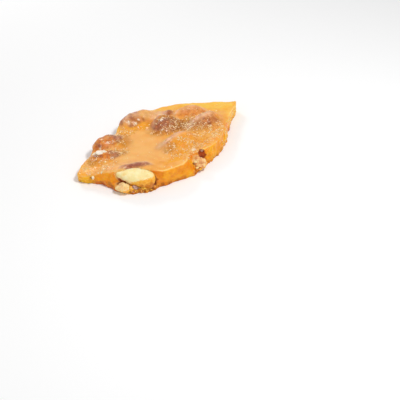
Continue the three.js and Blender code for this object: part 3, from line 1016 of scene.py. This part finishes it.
def build_nut(name, body, material, slot, seed, relief, tan=0, blunt=0):
    """A nut in its skin, or a bare kernel: cut, broken, and browner below by roast and painted
    shade.
    """
    middle, size, heading, dip = body
    unit, faces = ball(*NUT_MESH)
    cut = cut_reach(unit, KERNEL_CUTS.get(name, ()))
    local = kernel_points(unit, size, blunt) * cut[:, None]
    normal = unit / np.array(size)
    normal /= np.linalg.norm(normal, axis=1, keepdims=True)
    bumps = 0.6 * noise(local, 3, seed) + 0.4 * noise(local, 1.3, seed + 1, (1.8, 1, 1))
    if name in KERNELS:
        broken = 0.5 * (0.4 - np.abs(noise(local, 1.5, seed + 2)))
        bumps = bumps + broken + 0.25 * noise(local, 0.7, seed + 3)
    points = place(local + normal * (relief * bumps)[:, None], middle, heading, dip)
    values = {}
    if name in KERNELS:
        *_, begins, rises = KERNEL_LOOKS[name]
        aside, behind, above = (points - middle).T
        # browner lower down, towards the front and at both ends: roast and painted shade
        roast_and_shade = begins + rises * aside - (0.6 * behind + 0.8 * above) + 0.5
        share = aside / size[0]
        ends = 1.1 * ease(0.40, 0.5, share) + 0.9 * ease(-0.41, -0.5, share)
        tan, white = np.full(len(unit), tan), np.zeros(len(unit))
        values = {"roast_and_shade": np.maximum(roast_and_shade, ends), "tan": tan, "white": white}
    made = make_object(name, points, faces, material, attributes=values)
    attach(made, "root")
    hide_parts(name)


# ---- Crumbs, chips and sugar ----

# The crumbs below the front kernel: their range in x, and the line of the foot there.
CRUMB_COUNT, CRUMB_SEED = 9, 510
CRUMB_LEFT, CRUMB_RIGHT, CRUMB_FOOT, CRUMB_SLOPE = -12, -1.5, -31.6, 0.12
GRAIN_COUNT, GRAIN_SEED = 5000, 552
# A grain's least half size, what the largest adds, and how far it strays sideways.
GRAIN_SMALL, GRAIN_MORE, GRAIN_STRAY = 0.07, 0.22, 0.3
CLEAR_OF_GROUND = 0.02


def joined(name, parts, material, smooth=True):
    """One piece out of many small meshes: (points, triangles, attributes)."""
    start, points, faces, values = 0, [], [], {}
    for p, f, attributes in parts:
        points.append(p)
        faces.append(f + start)
        start += len(p)
        for key, value in attributes.items():
            values.setdefault(key, []).append(np.full(len(p), value))
    values = {key: np.concatenate(v) for key, v in values.items()}
    points, faces = np.concatenate(points), np.concatenate(faces)
    made = make_object(name, points, faces, material, smooth, values)
    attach(made, "root")


def chip(middle, size, heading, dip, seed, roast_and_shade=0, white=0, cuts=7, relief=0.1):
    """A small piece broken on every side."""
    unit, faces = ball(*CHIP_MESH)
    rng = np.random.default_rng(seed)
    planes = [(rng.normal(size=3), rng.uniform(0.55, 0.9)) for _ in range(cuts)]
    local = unit * np.array(size) / 2 * cut_reach(unit, planes, 24)[:, None]
    rough = noise(local, 1.1, seed) + 0.5 * noise(local, 0.5, seed + 1)
    points = place(local + unit * (relief * rough)[:, None], middle, heading, dip)
    points[:, 2] = np.maximum(points[:, 2], CLEAR_OF_GROUND)
    return points, faces, {"roast_and_shade": roast_and_shade, "tan": 0.3, "white": white}


def crumbs():
    rng = np.random.default_rng(504)
    for n in range(CRUMB_COUNT):
        x = rng.uniform(CRUMB_LEFT, CRUMB_RIGHT)
        y = CRUMB_FOOT + CRUMB_SLOPE * (x - CRUMB_LEFT) + rng.uniform(-0.5, 0.3)
        spot = (x, y, rng.uniform(0.6, 2.2))
        size, heading = rng.uniform(1.4, 3.4, 3), rng.uniform(0, 360)
        roast_and_shade = rng.uniform(0.8, 2.4)
        yield chip(spot, size, heading, 0, CRUMB_SEED + n, roast_and_shade=roast_and_shade, relief=0.25)


def grain_weight(points, normals):
    """Sugar gathers in clumps on the grainy face, and less on bare nuts."""
    clump = 0.5 + 0.9 * noise(points, 3.2, 550) + 0.7 * noise(points, 1.3, 551)
    weight = (patches(points, SUGARY, 0.35) + 0.035) * np.clip(clump, 0, 2) ** 1.5
    weight = weight * ease(3.5, 4.5, points[:, 2]) * ease(0.2, 0.6, normals[:, 2])
    sandy = patches(points, STAINED, 0.5) + patches(points, COVERED, 0.5)
    weight *= 1 + 0.1 * np.clip(sandy, 0, 1)
    for name in ("nut_centre", "nut_left_back", "nut_left_front"):
        bare = ease(-0.8, 0, inside_nut(points, *NUTS[name][:4])) * (points[:, 0] < 3.5)
        weight *= 1 - 0.8 * bare
    return weight * (inside_nut(points, *SKIN_CUP) < -0.8)


def sugar_grains(points, normals):
    """Small crystals, half sunk in the surface."""
    weight = grain_weight(points, normals)
    rng = np.random.default_rng(GRAIN_SEED)
    unit, faces = ball(*GRAIN_MESH)
    for n in rng.choice(len(points), GRAIN_COUNT, replace=False, p=weight / weight.sum()):
        up = normals[n]
        side = np.cross(up, rng.normal(size=3))
        side /= np.linalg.norm(side)
        axes = np.array([np.cross(side, up), side, up])
        large = rng.random() ** 5
        size = GRAIN_SMALL + GRAIN_MORE * large
        half = size * rng.uniform(0.7, 1.4, 3) * (1.2, 0.9, 0.8)
        shape = unit * rng.uniform(0.7, 1.2, (len(unit), 1)) * half
        aside = rng.uniform(-GRAIN_STRAY, GRAIN_STRAY, 2)
        middle = points[n] + np.array([*aside, 0.1 * size]) @ axes
        yield middle + shape @ axes, faces, {"tint": min(1, rng.random() ** 1.5 + large)}


def vectors(collection, key):
    values = np.empty(len(collection) * 3, np.float32)
    collection.foreach_get(key, values)
    return values.reshape(-1, 3)


# ---- Stage ----

FLOOR_WHITE, FLOOR_REACH = 0.985, 3000
WORLD_STRENGTH = 0.45
# name: place and size in metres, power in watts.
LIGHTS = {
    "key": ((0.16, -0.10, 0.34), 0.07, 0.78),
    "rim": ((-0.18, 0.30, 0.22), 0.1, 0.35),
    "fill": ((-0.26, -0.24, 0.14), 0.2, 0.15),
}
# The camera's place in millimetres, and how many degrees it looks down.
CAMERA_AT, CAMERA_DOWN = (17.65, -357.07, 240.72), 37


def area_light(name, place, size, power):
    light = bpy.data.lights.new(name, "AREA")
    light.shape = "DISK"
    light.size = size
    light.energy = power
    made = add_object(name, light)
    made.location = place
    made.rotation_euler = (-Vector(place)).to_track_quat("-Z", "Y").to_euler()


def build_stage():
    """A white floor just under the foot, a white sky and three lamps."""
    white = Surface("floor_white", Roughness=0.9, Base_Color=(*[FLOOR_WHITE] * 3, 1)).material
    ways = ((-1, -1), (1, -1), (1, 1), (-1, 1))
    corners = [(x * FLOOR_REACH, y * FLOOR_REACH, -CLEAR_OF_GROUND) for x, y in ways]
    floor = make_object("floor", corners, [(0, 1, 2, 3)], white, smooth=False)
    world = bpy.data.worlds.new("studio")
    world.use_nodes = True
    sky = world.node_tree.nodes["Background"]
    sky.inputs["Color"].default_value = (1, 1, 1, 1)
    sky.inputs["Strength"].default_value = WORLD_STRENGTH
    bpy.context.scene.world = world
    for name, (place, size, power) in LIGHTS.items():
        area_light(name, place, size, power)


def build_camera():
    """A long lens looking down at the broken front edge."""
    camera = bpy.data.cameras.new("camera")
    camera.lens = 85
    camera.sensor_width = 36
    camera.clip_start = 0.01
    made = add_object("camera", camera)
    made.location = Vector(CAMERA_AT) * MM
    made.rotation_euler = (math.radians(90 - CAMERA_DOWN), 0, 0)
    bpy.context.scene.camera = made


# ---- Everything ----

candy = build_candy(candy_material())
skin, kernel = skin_material(), kernel_material()
for n, (name, row) in enumerate(NUTS.items()):
    build_nut(name, row[:4], skin, "nut_skin", NUT_SEED + 10 * n, SKIN_RELIEF)
for n, (name, row) in enumerate(KERNELS.items()):
    looks = KERNEL_LOOKS[name][:3]
    build_nut(name, row[:4], kernel, "nut_kernel", KERNEL_SEED + 10 * n, *looks)

chips = [
    chip((-26.2, -13.6, 7.9), (5.2, 3.4, 1.2), 14, 4, 501, white=1, relief=0.32),
    chip((-24.4, -13, 7.9), (2.8, 1.5, 0.9), 8, 6, 505, white=0.8, relief=0.3),
    chip((-28.4, -13.7, 7.3), (2.8, 1.6, 0.9), 20, -8, 502, white=0.7, relief=0.3),
    chip((-28.4, -26.6, 3.7), (1.2, 1.4, 1.9), 10, 0, 503, white=0.5),
    chip((-24.6, -26, 6.1), (0.9, 0.9, 1.8), 0, 10, 506, white=0.3),
    chip((15.9, -16.3, 4.9), (1.9, 1.2, 1.2), 20, 30, 507, white=0.1, cuts=12, relief=0.08),
    chip((16.4, -18.1, 3), (2.2, 1.1, 1.2), -20, -25, 508, roast_and_shade=0.5, cuts=12, relief=0.08),
    chip((17.9, -17.6, 1.8), (1.8, 1.2, 1.1), 40, 15, 509, roast_and_shade=1, cuts=12, relief=0.08),
]
joined("kernel_chips", [*chips, *crumbs()], kernel)
scraps = [
    chip((-9.8, -32, 2.4), (3.4, 1.4, 2), 15, 20, 540, relief=0.2),
    chip((-27.8, -14.9, 6.9), (3, 1.2, 1), 10, 0, 541, relief=0.2),
    chip((18.4, -9.4, 6), (1.6, 0.7, 1), 20, -30, 543, relief=0.2),
]
joined("skin_scraps", scraps, scrap_material())

points, normals = vectors(candy.data.vertices, "co"), vectors(candy.data.vertex_normals, "vector")
grains = sugar_grains(points / MM, normals)
joined("sugar_grains", grains, sugar_material(), smooth=False)
build_stage()
build_camera()

view = bpy.context.scene.view_settings
view.view_transform = "Standard"
view.look = "None"
